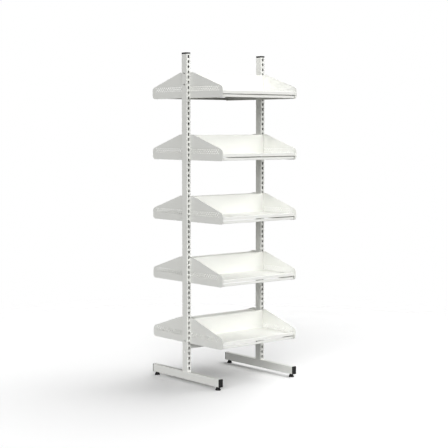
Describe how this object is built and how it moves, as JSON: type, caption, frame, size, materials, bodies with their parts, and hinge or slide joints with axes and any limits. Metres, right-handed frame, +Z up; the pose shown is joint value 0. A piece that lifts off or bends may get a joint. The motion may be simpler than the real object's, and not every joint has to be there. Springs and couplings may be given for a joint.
{
  "type": "gondola shelving unit",
  "caption": "Double-sided gondola bay: slotted posts on T feet, cross rails, and tray shelves on perforated hook-in brackets at both faces.",
  "frame": {"origin": "on the floor at the middle of the bay, midway between the posts and between the front and rear faces", "axes": "+Z up, +X along the bay to the right seen from the front face, -Y out of the front face, +Y out of the rear face"},
  "size_m": [0.652, 0.696, 2.069],
  "materials": {
    "frame_paint": "satin white powder coat",
    "bracket_paint": "satin white powder coat",
    "shelf_paint": "satin white powder coat",
    "label_rail_paint": "satin white powder coat",
    "cap_plastic": "dark grey moulded plastic",
    "leg_cap_plastic": "black moulded plastic",
    "foot_plastic": "black moulded plastic",
    "zinc_steel": "zinc plated",
    "black_bolt": "black oxide"
  },
  "bodies": {
    "frame": {"post_left": "frame_paint", "leg_left": "frame_paint", "post_cap_left": "cap_plastic", "post_right": "frame_paint", "leg_right": "frame_paint", "post_cap_right": "cap_plastic", "leg_end_caps": "leg_cap_plastic", "foot_nuts": "zinc_steel", "rail_bolts": "black_bolt", "cross_rail_lower": "frame_paint", "cross_rail_upper": "frame_paint"},
    "brackets_front_1": {"bracket_front_1_left": "bracket_paint", "bracket_front_1_right": "bracket_paint"},
    "shelf_front_1": {"shelf_front_1": "shelf_paint", "label_rail_front_1": "label_rail_paint"},
    "brackets_front_2": {"bracket_front_2_left": "bracket_paint", "bracket_front_2_right": "bracket_paint"},
    "shelf_front_2": {"shelf_front_2": "shelf_paint", "label_rail_front_2": "label_rail_paint"},
    "brackets_front_3": {"bracket_front_3_left": "bracket_paint", "bracket_front_3_right": "bracket_paint"},
    "shelf_front_3": {"shelf_front_3": "shelf_paint", "label_rail_front_3": "label_rail_paint"},
    "brackets_front_4": {"bracket_front_4_left": "bracket_paint", "bracket_front_4_right": "bracket_paint"},
    "shelf_front_4": {"shelf_front_4": "shelf_paint", "label_rail_front_4": "label_rail_paint"},
    "brackets_front_5": {"bracket_front_5_left": "bracket_paint", "bracket_front_5_right": "bracket_paint"},
    "shelf_front_5": {"shelf_front_5": "shelf_paint", "label_rail_front_5": "label_rail_paint"},
    "brackets_rear_1": {"bracket_rear_1_left": "bracket_paint", "bracket_rear_1_right": "bracket_paint"},
    "shelf_rear_1": {"shelf_rear_1": "shelf_paint", "label_rail_rear_1": "label_rail_paint"},
    "brackets_rear_2": {"bracket_rear_2_left": "bracket_paint", "bracket_rear_2_right": "bracket_paint"},
    "shelf_rear_2": {"shelf_rear_2": "shelf_paint", "label_rail_rear_2": "label_rail_paint"},
    "brackets_rear_3": {"bracket_rear_3_left": "bracket_paint", "bracket_rear_3_right": "bracket_paint"},
    "shelf_rear_3": {"shelf_rear_3": "shelf_paint", "label_rail_rear_3": "label_rail_paint"},
    "brackets_rear_4": {"bracket_rear_4_left": "bracket_paint", "bracket_rear_4_right": "bracket_paint"},
    "shelf_rear_4": {"shelf_rear_4": "shelf_paint", "label_rail_rear_4": "label_rail_paint"},
    "brackets_rear_5": {"bracket_rear_5_left": "bracket_paint", "bracket_rear_5_right": "bracket_paint"},
    "shelf_rear_5": {"shelf_rear_5": "shelf_paint", "label_rail_rear_5": "label_rail_paint"},
    "foot_front_left": {"foot_pad_front_left": "foot_plastic"},
    "stud_front_left": {"foot_stud_front_left": "zinc_steel"},
    "foot_front_right": {"foot_pad_front_right": "foot_plastic"},
    "stud_front_right": {"foot_stud_front_right": "zinc_steel"},
    "foot_rear_left": {"foot_pad_rear_left": "foot_plastic"},
    "stud_rear_left": {"foot_stud_rear_left": "zinc_steel"},
    "foot_rear_right": {"foot_pad_rear_right": "foot_plastic"},
    "stud_rear_right": {"foot_stud_rear_right": "zinc_steel"}
  },
  "joints": [
    {"name": "unhook_front_1", "type": "slide", "parent": "frame", "child": "brackets_front_1", "axis": [0, 0, 1], "range_m": [0, 0.007]},
    {"name": "lift_front_1", "type": "slide", "parent": "brackets_front_1", "child": "shelf_front_1", "axis": [0, 0, 1], "range_m": [0, 0.15]},
    {"name": "unhook_front_2", "type": "slide", "parent": "frame", "child": "brackets_front_2", "axis": [0, 0, 1], "range_m": [0, 0.007]},
    {"name": "lift_front_2", "type": "slide", "parent": "brackets_front_2", "child": "shelf_front_2", "axis": [0, 0, 1], "range_m": [0, 0.15]},
    {"name": "unhook_front_3", "type": "slide", "parent": "frame", "child": "brackets_front_3", "axis": [0, 0, 1], "range_m": [0, 0.007]},
    {"name": "lift_front_3", "type": "slide", "parent": "brackets_front_3", "child": "shelf_front_3", "axis": [0, 0, 1], "range_m": [0, 0.15]},
    {"name": "unhook_front_4", "type": "slide", "parent": "frame", "child": "brackets_front_4", "axis": [0, 0, 1], "range_m": [0, 0.007]},
    {"name": "lift_front_4", "type": "slide", "parent": "brackets_front_4", "child": "shelf_front_4", "axis": [0, 0, 1], "range_m": [0, 0.15]},
    {"name": "unhook_front_5", "type": "slide", "parent": "frame", "child": "brackets_front_5", "axis": [0, 0, 1], "range_m": [0, 0.007]},
    {"name": "lift_front_5", "type": "slide", "parent": "brackets_front_5", "child": "shelf_front_5", "axis": [0, 0, 1], "range_m": [0, 0.15]},
    {"name": "unhook_rear_1", "type": "slide", "parent": "frame", "child": "brackets_rear_1", "axis": [0, 0, 1], "range_m": [0, 0.007]},
    {"name": "lift_rear_1", "type": "slide", "parent": "brackets_rear_1", "child": "shelf_rear_1", "axis": [0, 0, 1], "range_m": [0, 0.15]},
    {"name": "unhook_rear_2", "type": "slide", "parent": "frame", "child": "brackets_rear_2", "axis": [0, 0, 1], "range_m": [0, 0.007]},
    {"name": "lift_rear_2", "type": "slide", "parent": "brackets_rear_2", "child": "shelf_rear_2", "axis": [0, 0, 1], "range_m": [0, 0.15]},
    {"name": "unhook_rear_3", "type": "slide", "parent": "frame", "child": "brackets_rear_3", "axis": [0, 0, 1], "range_m": [0, 0.007]},
    {"name": "lift_rear_3", "type": "slide", "parent": "brackets_rear_3", "child": "shelf_rear_3", "axis": [0, 0, 1], "range_m": [0, 0.15]},
    {"name": "unhook_rear_4", "type": "slide", "parent": "frame", "child": "brackets_rear_4", "axis": [0, 0, 1], "range_m": [0, 0.007]},
    {"name": "lift_rear_4", "type": "slide", "parent": "brackets_rear_4", "child": "shelf_rear_4", "axis": [0, 0, 1], "range_m": [0, 0.15]},
    {"name": "unhook_rear_5", "type": "slide", "parent": "frame", "child": "brackets_rear_5", "axis": [0, 0, 1], "range_m": [0, 0.007]},
    {"name": "lift_rear_5", "type": "slide", "parent": "brackets_rear_5", "child": "shelf_rear_5", "axis": [0, 0, 1], "range_m": [0, 0.15]},
    {"name": "level_front_left", "type": "slide", "parent": "frame", "child": "foot_front_left", "axis": [0, 0, -1], "range_m": [0, 0.015]},
    {"name": "turn_front_left", "type": "hinge", "parent": "foot_front_left", "child": "stud_front_left", "pos_m": [-0.31, -0.306, 0], "axis": [0, 0, -1], "range_deg": [0, 3600]},
    {"name": "level_front_right", "type": "slide", "parent": "frame", "child": "foot_front_right", "axis": [0, 0, -1], "range_m": [0, 0.015]},
    {"name": "turn_front_right", "type": "hinge", "parent": "foot_front_right", "child": "stud_front_right", "pos_m": [0.31, -0.306, 0], "axis": [0, 0, -1], "range_deg": [0, 3600]},
    {"name": "level_rear_left", "type": "slide", "parent": "frame", "child": "foot_rear_left", "axis": [0, 0, -1], "range_m": [0, 0.015]},
    {"name": "turn_rear_left", "type": "hinge", "parent": "foot_rear_left", "child": "stud_rear_left", "pos_m": [-0.31, 0.306, 0], "axis": [0, 0, -1], "range_deg": [0, 3600]},
    {"name": "level_rear_right", "type": "slide", "parent": "frame", "child": "foot_rear_right", "axis": [0, 0, -1], "range_m": [0, 0.015]},
    {"name": "turn_rear_right", "type": "hinge", "parent": "foot_rear_right", "child": "stud_rear_right", "pos_m": [0.31, 0.306, 0], "axis": [0, 0, -1], "range_deg": [0, 3600]}
  ],
  "couplings": [
    {"joint": "turn_front_left", "follows": "level_front_left", "rad_per_m": 4188.8},
    {"joint": "turn_front_right", "follows": "level_front_right", "rad_per_m": 4188.8},
    {"joint": "turn_rear_left", "follows": "level_rear_left", "rad_per_m": 4188.8},
    {"joint": "turn_rear_right", "follows": "level_rear_right", "rad_per_m": 4188.8}
  ]
}
